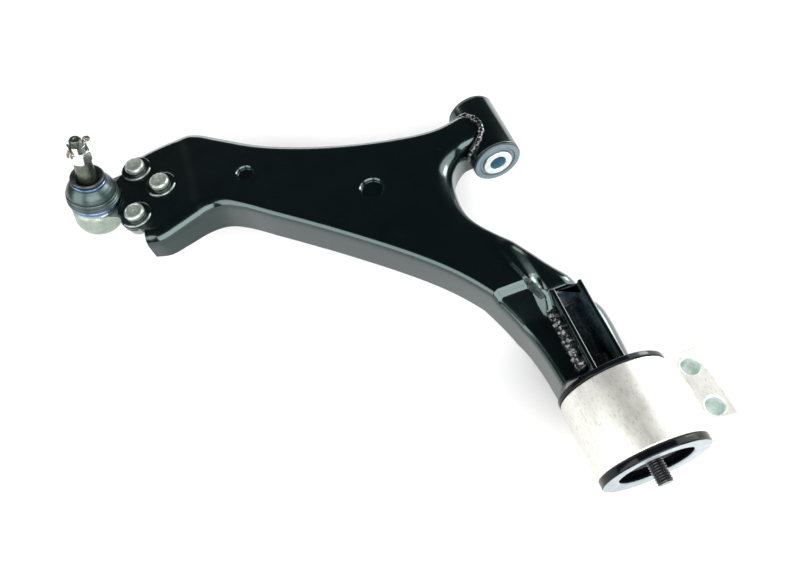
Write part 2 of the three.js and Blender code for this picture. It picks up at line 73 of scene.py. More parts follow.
# pressed arm: plate top, flange edge, sheet thickness, outer radius of the folds
PLATE_Z, FLANGE_Z, THICK, FOLD_R = 17, -18, 4, 8
LEG_DROP, LEG_STEP_Y, LEG_STEP_RUN = 16.5, -122, 30  # step down to the rear leg
END_STEP, END_STEP_X, END_STEP_RUN = 2, -252, 12  # step down to the ball joint's tongue
FLANGE_RISE, FLANGE_RISE_X, FLANGE_RISE_RUN = 7, -240, 70  # the flanges get shallower outwards
HORN_RISE, RIB_RISE = 3.5, 3  # the plate rises towards the front tube, and the rib stands up from it
BOSS_R, BOSS_RISE, LOBE_R, RIVET_R = 13.6, 1.8, 14.2, 5.9
RIVETS = ((-304, 118.6), (-285.1, 90.7), (-311.3, 65.8))
DIMPLES = ((-210.9, 69.5, 7.2), (-112, 6, 9.6))  # x, y, radius
# front bush: tube, whole length, sleeve and bore radius
FB_R, FB_LENGTH, FB_SLEEVE_R, FB_BORE_R = 21.5, 63.6, 12.8, 7.1
# rear bush: axis, housing radius, distances of its two ends behind the origin, can radius
RB_X, RB_Z, RB_R, RB_FRONT, RB_BACK, RB_CAN_R = -5.6, -3.6, 40.3, 216.2, 283.4, 31.4
CRADLE_R, CRADLE_WALL, CRADLE_WEB = 12.5, 3.2, 3
CRADLE_TOP, CRADLE_FRONT, CRADLE_BACK = 16.5, -141.7, -213.8
STUD_TIP, PIN_R = 295, 9
EAR_TOP, EAR_BOTTOM, EAR_END_X, EAR_FRONT, EAR_BACK, EAR_ROUND = 27, -4, 54, 224.6, 276.6, 6
EAR_HOLES, EAR_HOLE_R = ((38.5, -236.3), (38.5, -266.3)), 6.4
# ball joint: heights are along its tilted axis, from the boot's lower ring
TILT = math.radians(15.5)
BOOT_SEAT = (-345.3, 100, 16)
BALL_DROP, BALL_R = 13, 12.5
JOINT_CLEAR_R, LUG_LOW, LUG_HIGH = 23.6, 3.7, 10.7
BOOT_FOOT, BOOT_FOLD, BOOT_NECK = 3.5, 12.3, 23.0
NUT_TURN, NUT_FLATS, NUT_LOW, NUT_TOP, CROWN, SLOT = 44, 16, 49, 59.5, 67.5, 3.6
SPLIT_PIN_AT = 64

PLACE = Matrix.Translation(ORIGIN) @ Matrix.Scale(MM, 4)
ON_FRONT = PLACE @ Matrix.Rotation(-math.pi / 2, 4, "X")
ON_REAR = PLACE @ Matrix.Translation((RB_X, 0, RB_Z)) @ Matrix.Rotation(math.pi / 2, 4, "X")
ON_BALL = PLACE @ Matrix.Translation(BOOT_SEAT) @ Matrix.Rotation(TILT, 4, "Y")


# ---- mesh helpers --------------------------------------------------------------------------------
def mesh_object(name, verts, faces, place=PLACE, smooth=35):
    """New object from millimetre points; edges sharper than smooth degrees stay sharp."""
    me = bpy.data.meshes.new(name)
    me.from_pydata([tuple(place @ Vector(v)) for v in verts], [], faces)
    me.validate()
    bm = bmesh.new()
    bm.from_mesh(me)
    bmesh.ops.delete(bm, geom=[v for v in bm.verts if not v.link_faces], context="VERTS")
    bmesh.ops.recalc_face_normals(bm, faces=bm.faces)
    bm.to_mesh(me)
    bm.free()
    me.shade_smooth()
    me.set_sharp_from_angle(angle=math.radians(smooth))
    o = bpy.data.objects.new(name, me)
    bpy.context.scene.collection.objects.link(o)
    return o


def fillet(points, radius, closed=True, steps=4):
    """Rounds the corners of a profile; corners on the axis stay."""
    n = len(points)
    out = []
    for i, p in enumerate(points):
        p = Vector(p[:2])
        r = radius if len(points[i]) == 2 else points[i][2]
        a = Vector(points[i - 1][:2]) if closed or i > 0 else None
        b = Vector(points[(i + 1) % n][:2]) if closed or i < n - 1 else None
        if a is None or b is None or p.x < 1e-6 or r <= 0:
            out.append(tuple(p))
            continue
        u, v = a - p, b - p
        half = u.angle(v, 0) / 2
        if half > math.radians(88) or half < math.radians(2):
            out.append(tuple(p))
            continue
        d = min(r / math.tan(half), 0.45 * u.length, 0.45 * v.length)
        s, e = p + u.normalized() * d, p + v.normalized() * d
        for k in range(steps + 1):
            t = k / steps
            out.append(tuple(s * (1 - t) ** 2 + p * 2 * t * (1 - t) + e * t * t))
    return out


def lathe(name, profile, place, round_=0.4, closed=True, sides=96, smooth=35, steps=4, warp=None):
    """Turned about local Z from [radius, height] points. warp(angle, r, h) may move a point."""
    pts = fillet(profile, round_, closed, steps)
    n = len(pts)
    verts, faces = [], []
    for k in range(sides):
        a = 2 * math.pi * k / sides
        for r, h in pts:
            r2, h2 = warp(a, r, h) if warp else (r, h)
            verts.append((r2 * math.cos(a), r2 * math.sin(a), h2))
    for k in range(sides):
        k2 = (k + 1) % sides
        for i in range(n if closed else n - 1):
            j = (i + 1) % n
            quad = [k * n + i, k * n + j, k2 * n + j, k2 * n + i]
            if pts[i][0] < 1e-6 and pts[j][0] < 1e-6:
                continue
            if pts[i][0] < 1e-6:
                quad = [i, k * n + j, k2 * n + j]
            elif pts[j][0] < 1e-6:
                quad = [k * n + i, j, k2 * n + i]
            faces.append(quad)
    return mesh_object(name, verts, faces, place, smooth)


def prism(name, outline, low, high, place=PLACE):
    """Outline in local X and Y, closed between two heights."""
    n = len(outline)
    verts = [(x, y, low) for x, y in outline] + [(x, y, high) for x, y in outline]
    faces = [list(range(n))[::-1], list(range(n, 2 * n))]
    faces += [[i, (i + 1) % n, n + (i + 1) % n, n + i] for i in range(n)]
    return mesh_object(name, verts, faces, place)


def cylinder(name, x, y, r, low, high, sides=64, place=PLACE):
    ring = [(x + r * math.cos(2 * math.pi * k / sides), y + r * math.sin(2 * math.pi * k / sides))
            for k in range(sides)]
    return prism(name, ring, low, high, place)


def applied(o):
    """The object with its modifiers made permanent."""
    me = bpy.data.meshes.new_from_object(o.evaluated_get(bpy.context.evaluated_depsgraph_get()))
    old = o.data
    o.modifiers.clear()
    o.data = me
    bpy.data.meshes.remove(old)
    return o


def boolean(o, cutter, kind):
    """Joins or cuts o with the cutter, which is used up."""
    m = o.modifiers.new("cut", "BOOLEAN")
    m.object, m.operation, m.solver = cutter, kind, "MANIFOLD"
    bpy.context.view_layer.update()
    applied(o)
    old = cutter.data
    bpy.data.objects.remove(cutter)
    bpy.data.meshes.remove(old)
    return o


def shade(o, degrees=32):
    o.data.shade_smooth()
    o.data.set_sharp_from_angle(angle=math.radians(degrees))
    return o


def bevelled(o, width, segments=3, degrees=35):
    m = o.modifiers.new("edge", "BEVEL")
    m.width, m.segments, m.limit_method = width * MM, segments, "ANGLE"
    m.angle_limit, m.harden_normals = math.radians(degrees), True
    bpy.context.view_layer.update()
    return applied(o)


def tube(name, path, radius, place=PLACE, sides=16, closed=False, smooth=60, up=(0, 0, 1)):
    """Swept round section; radius(i, angle) or a number."""
    pts = [Vector(p) for p in path]
    n = len(pts)
    verts, faces = [], []
    side = None
    for i, p in enumerate(pts):
        a = pts[(i - 1) % n if closed else max(0, i - 1)]
        b = pts[(i + 1) % n if closed else min(n - 1, i + 1)]
        t = (b - a).normalized()
        side = (Vector(up).cross(t) if side is None else side - t * side.dot(t)).normalized()
        other = t.cross(side)
        for k in range(sides):
            w = 2 * math.pi * k / sides
            r = radius(i, w) if callable(radius) else radius
            verts.append(p + side * (r * math.cos(w)) + other * (r * math.sin(w)))
    for i in range(n if closed else n - 1):
        j = (i + 1) % n
        for k in range(sides):
            l = (k + 1) % sides
            faces.append([i * sides + k, j * sides + k, j * sides + l, i * sides + l])
    if not closed:
        faces += [list(range(sides))[::-1], [(n - 1) * sides + k for k in range(sides)]]
    return mesh_object(name, verts, faces, place, smooth)


def thread(name, core, crest, low, high, pitch, place, sides=40, per=6, end=0.0):
    """Single-start helical thread closed at both ends, with a chamfer of height end at the top."""
    rows = int((high - low) / pitch * per) + 1
    verts, faces = [], []
    for i in range(rows):
        h = low + (high - low) * i / (rows - 1)
        for k in range(sides):
            a = 2 * math.pi * k / sides
            phase = (h / pitch - k / sides) % 1.0
            tooth = min(1.0, max(0.0, 1.35 * (1 - abs(2 * phase - 1)) - 0.12))
            r = core + (crest - core) * tooth
            if end and h > high - end:
                r = min(r, core + (crest - core) * (high - h) / end)
            verts.append((r * math.cos(a), r * math.sin(a), h))
    for i in range(rows - 1):
        for k in range(sides):
            l = (k + 1) % sides
            faces.append([i * sides + k, i * sides + l, (i + 1) * sides + l, (i + 1) * sides + k])
    faces += [list(range(sides))[::-1], [(rows - 1) * sides + k for k in range(sides)]]
    return mesh_object(name, verts, faces, place, 40)


def joined(name, *objects):
    """One object from several, which are used up."""
    bm = bmesh.new()
    for o in objects:
        bm.from_mesh(o.data)
    me = bpy.data.meshes.new(name)
    bm.to_mesh(me)
    bm.free()
    for o in objects:
        old = o.data
        bpy.data.objects.remove(o)
        bpy.data.meshes.remove(old)
    o = bpy.data.objects.new(name, me)
    bpy.context.scene.collection.objects.link(o)
    return shade(o, 38)


# ---- materials -----------------------------------------------------------------------------------
def material(name, color, color2, rough, metal=0.0, spot=0.01, grain=0.0008, bump=0.0, rough_spread=0.08,
             wear_and_sheen=None, wear_and_sheen_size=0.006, wear_and_sheen_amount=0.5, stretch=None, **sockets):
    """Base colour drifts between two tints over spot metres; grain is the size of the bump."""
    m = bpy.data.materials.new(name)
    m.use_nodes = True
    nt = m.node_tree
    bsdf = nt.nodes["Principled BSDF"]
    link = nt.links.new
    coord = nt.nodes.new("ShaderNodeTexCoord")
    source = coord.outputs["Object"]
    if stretch:
        mapping = nt.nodes.new("ShaderNodeMapping")
        mapping.inputs["Scale"].default_value = stretch
        link(source, mapping.inputs["Vector"])
        source = mapping.outputs["Vector"]

    def noise_node(size, detail, roughness=0.6):
        n = nt.nodes.new("ShaderNodeTexNoise")
        n.inputs["Scale"].default_value = 1 / size
        n.inputs["Detail"].default_value = detail
        n.inputs["Roughness"].default_value = roughness
        link(source, n.inputs["Vector"])
        return n.outputs["Fac"]

    def ramp(fac, low, high, a, b):
        r = nt.nodes.new("ShaderNodeValToRGB")
        r.color_ramp.elements[0].position, r.color_ramp.elements[1].position = low, high
        r.color_ramp.elements[0].color, r.color_ramp.elements[1].color = (*a, 1), (*b, 1)
        link(fac, r.inputs["Fac"])
        return r.outputs["Color"]

    big = noise_node(spot, 4)
    tone = ramp(big, 0.35, 0.65, color, color2)
    # speckles of a second colour: real wear on most materials, a painted sheen on the inside of the cradle
    if wear_and_sheen:
        mask = ramp(noise_node(wear_and_sheen_size, 8, 0.75), 0.72 - 0.3 * wear_and_sheen_amount, 0.78 - 0.3 * wear_and_sheen_amount,
                    (0, 0, 0), (1, 1, 1))
        mix = nt.nodes.new("ShaderNodeMix")
        mix.data_type = "RGBA"
        link(mask, mix.inputs["Factor"])
        link(tone, mix.inputs["A"])
        mix.inputs["B"].default_value = (*wear_and_sheen, 1)
        tone = mix.outputs["Result"]
    link(tone, bsdf.inputs["Base Color"])
    fine = noise_node(grain, 3)
    r = nt.nodes.new("ShaderNodeMapRange")
    r.inputs["To Min"].default_value = max(0.02, rough - rough_spread)
    r.inputs["To Max"].default_value = min(1.0, rough + rough_spread)
    link(noise_node(spot * 0.4, 5), r.inputs["Value"])
    link(r.outputs["Result"], bsdf.inputs["Roughness"])
    bsdf.inputs["Metallic"].default_value = metal
    if bump:
        b = nt.nodes.new("ShaderNodeBump")
        b.inputs["Strength"].default_value = 1.0
        b.inputs["Distance"].default_value = bump
        link(fine, b.inputs["Height"])
        link(b.outputs["Normal"], bsdf.inputs["Normal"])
    for key, value in sockets.items():
        bsdf.inputs[key.replace("_", " ")].default_value = value
    return m


COAT = material("gloss_black_coat", (0.0008, 0.002, 0.0023), (0.0012, 0.0028, 0.0032), 0.19, spot=0.06,
                grain=0.0035, bump=0.00003, rough_spread=0.05, Specular_IOR_Level=0.62,
                Specular_Tint=(0.7, 0.98, 0.94, 1), Coat_Weight=0.32, Coat_Roughness=0.06,
                Coat_Tint=(0.9, 0.98, 0.97, 1))
COAT_ROUGH = material("black_coat_over_weld", (0.004, 0.007, 0.0075), (0.012, 0.017, 0.018), 0.2, spot=0.004,
                      grain=0.0016, bump=0.0003, rough_spread=0.12, wear_and_sheen=(0.6, 0.66, 0.66), wear_and_sheen_size=0.003,
                      wear_and_sheen_amount=0.36, Specular_IOR_Level=0.8, Coat_Weight=0.7,
                      Coat_Roughness=0.05)
# painted highlight: lighter, metal-looking edge on one side of each boss, where its rounded rim catches the
# light
BOSS_EDGE_HIGHLIGHT = material("painted_highlight_on_boss_edges", (0.3, 0.33, 0.31), (0.16, 0.18, 0.17), 0.3, metal=0.7,
                     spot=0.004, grain=0.0006, bump=0.00004, rough_spread=0.12, wear_and_sheen=(0.03, 0.035, 0.035),
                     wear_and_sheen_size=0.002, wear_and_sheen_amount=0.55)
# painted light: the inside of the cradle is coloured lighter than the coat to lift its shade, and its light
# speckles are a painted sheen
CRADLE_INSIDE_LIGHT = material("cradle_inside_painted_light", (0.01, 0.02, 0.025), (0.035, 0.055, 0.062), 0.26, spot=0.01,
                     grain=0.0007, bump=0.00005, rough_spread=0.12, wear_and_sheen=(0.3, 0.38, 0.4), wear_and_sheen_size=0.0009,
                     wear_and_sheen_amount=0.4, Specular_IOR_Level=0.8, Coat_Weight=0.4, Coat_Roughness=0.1)
ALUMINIUM = material("cast_aluminium", (0.7, 0.69, 0.64), (0.64, 0.64, 0.59), 0.46, metal=0.75,
                     spot=0.009, grain=0.0009, bump=0.0001, rough_spread=0.14, wear_and_sheen=(0.5, 0.52, 0.48),
                     wear_and_sheen_size=0.0014, wear_and_sheen_amount=0.62, stretch=(1, 0.35, 1))
# painted shade: grey-green colour on the walls of the ear's bolt holes
EAR_HOLE_SHADE = material("painted_shade_in_ear_holes", (0.78, 0.86, 0.83), (0.58, 0.68, 0.65), 0.5, metal=0.6,
                   spot=0.003, grain=0.0006, bump=0.00004)
ZINC = material("bright_zinc", (0.8, 0.84, 0.82), (0.58, 0.63, 0.62), 0.22, metal=0.95, spot=0.004,
                grain=0.0005, bump=0.000015, rough_spread=0.1)
# the inside of the front sleeve's bore is coloured light blue
BLUISH_BORE = material("bluish_bore_inside", (0.16, 0.36, 0.46), (0.1, 0.26, 0.36), 0.42, metal=0.6, spot=0.004,
                grain=0.0005, bump=0.00002)
WELD = material("black_coat_over_thin_weld", (0.002, 0.004, 0.0045), (0.006, 0.009, 0.01), 0.16,
                spot=0.004, grain=0.0016, bump=0.0002, rough_spread=0.1, Specular_IOR_Level=0.7,
                Coat_Weight=0.5, Coat_Roughness=0.05)
RIVET = material("rivet_steel", (0.5, 0.55, 0.5), (0.3, 0.34, 0.3), 0.42, metal=0.85, spot=0.0035,
                 grain=0.0007, bump=0.00005, rough_spread=0.14, wear_and_sheen=(0.2, 0.23, 0.2), wear_and_sheen_size=0.0014,
                 wear_and_sheen_amount=0.35)
STUD = material("stud_steel", (0.13, 0.15, 0.12), (0.07, 0.085, 0.065), 0.3, metal=0.9, spot=0.003,
                grain=0.0006, bump=0.00003, rough_spread=0.12)
CUP = material("plated_forging", (0.33, 0.38, 0.33), (0.24, 0.29, 0.25), 0.42, metal=0.85, spot=0.008,
               grain=0.0008, bump=0.00005, rough_spread=0.12, wear_and_sheen=(0.3, 0.32, 0.29), wear_and_sheen_size=0.003,
               wear_and_sheen_amount=0.3)
BOOT = material("boot_rubber", (0.014, 0.024, 0.022), (0.01, 0.018, 0.017), 0.3, spot=0.012, grain=0.0014,
                bump=0.000006, rough_spread=0.05, Specular_IOR_Level=0.7, Specular_Tint=(0.76, 0.98, 0.95, 1))
LIP = material("boot_lip_rubber", (0.014, 0.018, 0.02), (0.01, 0.013, 0.014), 0.34, spot=0.008, grain=0.0008,
               bump=0.00002, rough_spread=0.06, Specular_IOR_Level=0.6)
BLUE = material("blue_ring", (0.08, 0.13, 0.24), (0.12, 0.19, 0.32), 0.18, metal=0.85, spot=0.003,
                grain=0.0004, bump=0.00001, rough_spread=0.06)
# painted sheen: the front rubber's flat end faces are grey-blue where the black rubber reflects the bright
# surroundings
FRONT_RUBBER_SHEEN = material("front_rubber", (0.07, 0.125, 0.16), (0.105, 0.15, 0.165), 0.4, spot=0.006,
                        grain=0.0008, bump=0.00003, rough_spread=0.08, Specular_IOR_Level=0.6)
REAR_RUBBER = material("rear_rubber", (0.008, 0.009, 0.01), (0.014, 0.015, 0.016), 0.6, spot=0.01,
                       grain=0.0009, bump=0.00005, rough_spread=0.1)
CAN_BLACK = material("gloss_black_can", (0.002, 0.003, 0.004), (0.004, 0.005, 0.007), 0.12, spot=0.012,
                     grain=0.002, bump=0.00002, rough_spread=0.04, Specular_IOR_Level=0.16)
# painted reflection: the black can's end face is coloured light metallic grey where it reflects the bright
# surroundings
CAN_FACE_REFLECTION = material("can_end_face_painted_reflection", (0.3, 0.34, 0.36), (0.22, 0.26, 0.28), 0.4, metal=0.7, spot=0.006,
                    grain=0.0006, bump=0.00003, rough_spread=0.12)
CAN_STEEL = material("phosphated_steel", (0.12, 0.13, 0.14), (0.2, 0.21, 0.22), 0.4, metal=0.8, spot=0.004,
                     grain=0.0006, bump=0.00002)
PIN = material("black_thread_steel", (0.006, 0.007, 0.008), (0.016, 0.017, 0.018), 0.26, metal=0.3,
               spot=0.003, grain=0.0006, bump=0.00003, rough_spread=0.1, Specular_IOR_Level=0.7)
WIRE = material("split_pin_wire", (0.1, 0.09, 0.13), (0.26, 0.2, 0.12), 0.3, metal=0.9, spot=0.003,
                grain=0.0004, bump=0.00001, rough_spread=0.1)
SEAT = material("ball_seat_plastic", (0.62, 0.58, 0.47), (0.56, 0.52, 0.42), 0.45, spot=0.006, grain=0.0006,
                bump=0.00001)
FLOOR = material("pale_floor", (0.94, 0.94, 0.935), (0.925, 0.925, 0.92), 0.8, spot=0.6, grain=0.02, bump=0.0)


def finish_piece(o, mat, body, slot, *nodes):
    """Gives the piece its material or materials and its body, and hides the nodes that it replaces. Its slot
    is not used.
    """
    o.data.materials.clear()
    for m in (mat if isinstance(mat, (list, tuple)) else [mat]):
        o.data.materials.append(m)
    if body:
        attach(o, body)
    if nodes:
        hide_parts(*nodes)
    return o


def second_material(o, wanted):
    """Gives the second material to the faces whose middle, in millimetres, and normal are wanted."""
    for face in o.data.polygons:
        if wanted((face.center - ORIGIN) / MM, face.normal):
            face.material_index = 1


# ---- pressed arm ---------------------------------------------------------------------------------
# The plate's two edges run from the ball joint to the rear leg. The far one goes round the front tube's horn.
# FACING pairs a place on the near edge with the place on the far edge that faces it, both as point numbers.
NEAR_EDGE = ((-309, 36), (-296, 33.5), (-278, 39), (-258, 46), (-241, 46.5), (-224, 37), (-201, 17.5),
             (-150, -27), (-101, -74), (-76, -103), (-57, -133), (-46, -157), (-41, -180), (-38.5, -207))
FAR_EDGE = ((-303, 136.4), (-288, 140), (-270, 142.4), (-255, 142.4), (-241, 137), (-224, 124),
            (-191, 99.5), (-157, 81.5), (-123, 67.5), (-89, 57), (-54, 49.5), (-30, 48.5), (-14, 50),
            (-3, 44), (0, 33), (-4, 22), (-14, 17), (-25, 15.5), (-34, 9), (-41, 0), (-45, -13),
            (-47, -27), (-47.5, -40), (-46, -51), (-42.5, -61), (-31.5, -79), (-23.5, -92), (-15.5, -104),
            (-8, -118), (0.8, -131), (8, -141.5), (14.6, -150), (18.8, -157), (20.3, -168),
            (20, -184), (18.6, -207))
FACING = (
    (0, 0), (1, 1), (2, 2), (3, 3.5), (4, 4.5), (5, 5.3), (5.5, 7), (5.8, 9), (6, 11), (6.06, 12),
    (6.12, 13), (6.17, 14), (6.22, 15), (6.3, 16), (6.6, 17), (6.85, 18), (7.15, 19), (7.4, 20),
    (7.62, 21), (7.8, 22), (8, 23), (8.35, 24), (8.8, 25), (9.15, 26), (9.6, 27.3), (10, 28.6),
    (10.5, 30), (11.1, 31.7), (12, 33.6), (13, 35),
)
# distance past the step's start and drop; then, by point number, the outer radius of the two folds
LEG_STEP = ((0, 0), (0.9, 0.3), (1.7, 1.1), (5.1, 5.2), (6.0, 6.0), (7.6, 6.8), (30, 16.5))
NEAR_FOLD = ((0, 11), (3.4, 11), (5.2, 6), (13, 6))
FAR_FOLD = ((0, FOLD_R), (16, FOLD_R), (18, 13), (19.5, 17), (21, 16), (23, 12), (25, FOLD_R), (28, FOLD_R),
            (30, 11), (32, 14), (35, 14))
# the rib's two sides, as y and x
RIB_LEFT = ((-146, -22), (-141, -26.5), (-134.5, -29.8), (-128, -32.4), (-110, -37.2), (-84, -41.5))
RIB_RIGHT = ((-146, -17.5), (-133, -19), (-114, -20.5), (-97, -22.5), (-84, -25))


def clamp(t):
    return min(1.0, max(0.0, t))


def ease(t):
    c = clamp(t)
    return c * c * (3 - 2 * c)


def between(keys, u):
    """Value at u on straight lines between (place, value) keys."""
    i = 0
    while i < len(keys) - 2 and u > keys[i + 1][0]:
        i += 1
    a, b = keys[i], keys[i + 1]
    return a[1] + (b[1] - a[1]) * clamp((u - a[0]) / (b[0] - a[0]))


def curve_point(points, index):
    """Centripetal Catmull-Rom through the points."""
    n = len(points)
    i = min(n - 2, max(0, int(math.floor(index))))
    w = index - i
    p = [Vector(q) for q in points]
    p0 = p[i - 1] if i > 0 else 2 * p[0] - p[1]
    p1, p2 = p[i], p[i + 1]
    p3 = p[i + 2] if i + 2 < n else 2 * p[-1] - p[-2]
    d0, d1, d2 = ((b - a).length ** 0.5 for a, b in ((p0, p1), (p1, p2), (p2, p3)))
    t1 = ((p1 - p0) / d0 - (p2 - p0) / (d0 + d1) + (p2 - p1) / d1) * d1
    t2 = ((p2 - p1) / d1 - (p3 - p1) / (d1 + d2) + (p3 - p2) / d2) * d1
    return p1 + t1 * w + (3 * (p2 - p1) - 2 * t1 - t2) * w ** 2 + (2 * (p1 - p2) + t1 + t2) * w ** 3


def edge_at(points, index):
    """Place on an edge and the direction in which it runs."""
    last = len(points) - 1
    index = min(last, max(0, index))
    a, b = curve_point(points, max(0, index - 0.02)), curve_point(points, min(last, index + 0.02))
    return curve_point(points, index), (b - a).normalized()


def soft_ramp(t):
    """0 below 0 and 1 above 1, straight between them, with rounded ends."""
    soft = 0.11
    start, stop = (soft * math.log1p(math.exp(min(40, u / soft))) for u in (t, t - 1))
    return start - stop


def leg_drop(x, y):
    """A sharp step on the outer side of the leg, and a later, even slope on its inner side."""
    sharp = between(LEG_STEP, LEG_STEP_Y - 3 - y)
    slope = LEG_DROP * soft_ramp((LEG_STEP_Y - 17.5 - y) / 18)
    return sharp + (slope - sharp) * ease((x + 30) / 9)


def plate_top(x, y):
    z = PLATE_Z - END_STEP * ease((END_STEP_X - x) / END_STEP_RUN)
    z += HORN_RISE * ease((x + 45) / 35) * ease((y + 30) / 30)
    z -= leg_drop(x, y)
    sides = ease((x - between(RIB_LEFT, y)) / 3) * ease((between(RIB_RIGHT, y) - x) / 10)
    rib = sides * ease((-80 - y) / 16) * ease((y + 145.5) / 8)
    return z + (PLATE_Z + RIB_RISE - z) * rib


def flange_bottom(x, y):
    outwards = FLANGE_RISE * clamp((FLANGE_RISE_X - x) / FLANGE_RISE_RUN)
    return FLANGE_Z + outwards - LEG_DROP * clamp((LEG_STEP_Y - y) / LEG_STEP_RUN)


def section(near, far, folds, depth, plate_steps, fold_steps):
    """One row across the pressing, flange edge to flange edge, depth under its outer skin."""
    rows, starts = [], []
    for (p, t), r, sign in ((near, folds[0], 1), (far, folds[1], -1)):
        out = Vector((t.y, -t.x)) * sign
        start = p - out * r
        top = plate_top(*start)
        side = [(*(p - out * depth), flange_bottom(*p))]
        for k in range(1, 5):
            z = flange_bottom(*p) + (top - r - flange_bottom(*p)) * k / 5
            side.append((*(p - out * depth), z))
        for i in range(fold_steps + 1):
            a = math.pi / 2 * i / fold_steps
            q = start + out * ((r - depth) * math.cos(a))
            side.append((*q, top - r + (r - depth) * math.sin(a)))
        rows.append(side)
        starts.append(start)
    middle = []
    for i in range(1, plate_steps):
        q = starts[0].lerp(starts[1], i / plate_steps)
        middle.append((*q, plate_top(*q) - depth))
    return rows[0] + middle + rows[1][::-1]


def pressed_arm(density, plate_steps, fold_steps):
    """U-shaped sheet between its outer and inner skin, closed along all its edges."""
    outer, inner = [], []
    for k, (a, b) in enumerate(zip(FACING[:-1], FACING[1:])):
        dense = 4 if 9 < a[0] < 10.2 else 1  # finer at the leg's step
        steps = max(1, round(density * dense * (b[0] - a[0] + 0.45 * (b[1] - a[1]))))
        last = k == len(FACING) - 2
        for i in range(steps + (1 if last else 0)):
            u, v = (a[side] + (b[side] - a[side]) * i / steps for side in (0, 1))
            near, far = edge_at(NEAR_EDGE, u), edge_at(FAR_EDGE, v)
            folds = between(NEAR_FOLD, u), between(FAR_FOLD, v)
            outer.append(section(near, far, folds, 0, plate_steps, fold_steps))
            inner.append(section(near, far, folds, THICK, plate_steps, fold_steps))
    across, count = len(outer[0]), len(outer)
    verts = [v for row in outer for v in row] + [v for row in inner for v in row]

    def at(skin, s, j):
        return skin * count * across + s * across + j

    faces = []
    e = across - 1
    for s in range(count - 1):
        for j in range(e):
            faces.append([at(0, s, j), at(0, s + 1, j), at(0, s + 1, j + 1), at(0, s, j + 1)])
            faces.append([at(1, s, j), at(1, s, j + 1), at(1, s + 1, j + 1), at(1, s + 1, j)])
        faces.append([at(0, s, 0), at(1, s, 0), at(1, s + 1, 0), at(0, s + 1, 0)])
        faces.append([at(0, s, e), at(0, s + 1, e), at(1, s + 1, e), at(1, s, e)])
    for j in range(e):
        c = count - 1
        faces.append([at(0, 0, j), at(0, 0, j + 1), at(1, 0, j + 1), at(1, 0, j)])
        faces.append([at(0, c, j), at(1, c, j), at(1, c, j + 1), at(0, c, j + 1)])
    return mesh_object("arm_plate", verts, faces)


arm = pressed_arm(6, 44, 8)
TOP = PLATE_Z - END_STEP
web = ((-297, 131), (-304, 132.4), (-327, 110), (-327, 74), (-313, 51.7), (-309.5, 48.5), (-297, 48.5))
tongue = prism("tongue", web, TOP - THICK, TOP)
for i in (0, 2):
    boolean(tongue, cylinder("lobe", *RIVETS[i], LOBE_R, TOP - THICK, TOP, 96), "UNION")
boolean(arm, tongue, "UNION")
for x, y in RIVETS:
    at_rivet = PLACE @ Matrix.Translation((x, y, 0))
    boss = lathe("boss", ((0, TOP - 2), (BOSS_R, TOP - 2, 0), (BOSS_R, TOP + BOSS_RISE, 1.4),
                          (0, TOP + BOSS_RISE)), at_rivet, 1.4, False, 72, steps=6)
    boolean(arm, boss, "UNION")
boolean(arm, cylinder("joint", 0, 0, JOINT_CLEAR_R, -40, 40, 96, ON_BALL), "DIFFERENCE")
boolean(arm, cylinder("tube", 0, 0, FB_R + 0.1, -10, 75, 128, ON_FRONT), "DIFFERENCE")
slot_x, slot_y = CRADLE_R + GAP, CRADLE_FRONT + GAP
slot_outline = ((RB_X - slot_x, slot_y - 90), (RB_X + slot_x, slot_y - 90), (RB_X + slot_x, slot_y),
                (RB_X - slot_x, slot_y))
boolean(arm, prism("slot", slot_outline, -17, 43), "DIFFERENCE")
for x, y in RIVETS:
    boolean(arm, cylinder("rivet_hole", x, y, RIVET_R + GAP, 0, 40, 48), "DIFFERENCE")
for x, y, r in DIMPLES:
    at_dimple = PLACE @ Matrix.Translation((x, y, 0))
    under = lathe("under", ((0, PLATE_Z - 7), (r + 2.5, PLATE_Z - 7), (r + 2.5, PLATE_Z - 1, 0),
                            (0, PLATE_Z - 1)), at_dimple, 1.5, False, 72)
    boolean(arm, under, "UNION")
    punch = lathe("punch", ((0, PLATE_Z - 3.6), (r, PLATE_Z - 3.6, 0.8), (r, PLATE_Z - 1.1, 0.5),
                            (r + 1.4, PLATE_Z + 0.3, 0), (r + 1.4, 40), (0, 40)), at_dimple, 0.8, False, 72)
    boolean(arm, punch, "DIFFERENCE")
arm.name = "pressed_arm"
finish_piece(shade(arm, 40), [COAT, BOSS_EDGE_HIGHLIGHT], "arm", "black_coat", "arm_shell")


def on_boss_highlight(q, normal):
    """True on the outer edge of a boss, on the one side where a highlight is painted in as lighter,
    bare-looking metal.
    """
    for x, y in RIVETS:
        turn = math.degrees(math.atan2(q.y - y, q.x - x))
        away = abs((turn + 84 + 180) % 360 - 180)
        if 12.4 < math.hypot(q.x - x, q.y - y) < BOSS_R + 0.05 and q.z > TOP + 0.2 and away < 66:
            return True
    return False


# paints the highlight onto one side of each boss's rim
second_material(arm, on_boss_highlight)


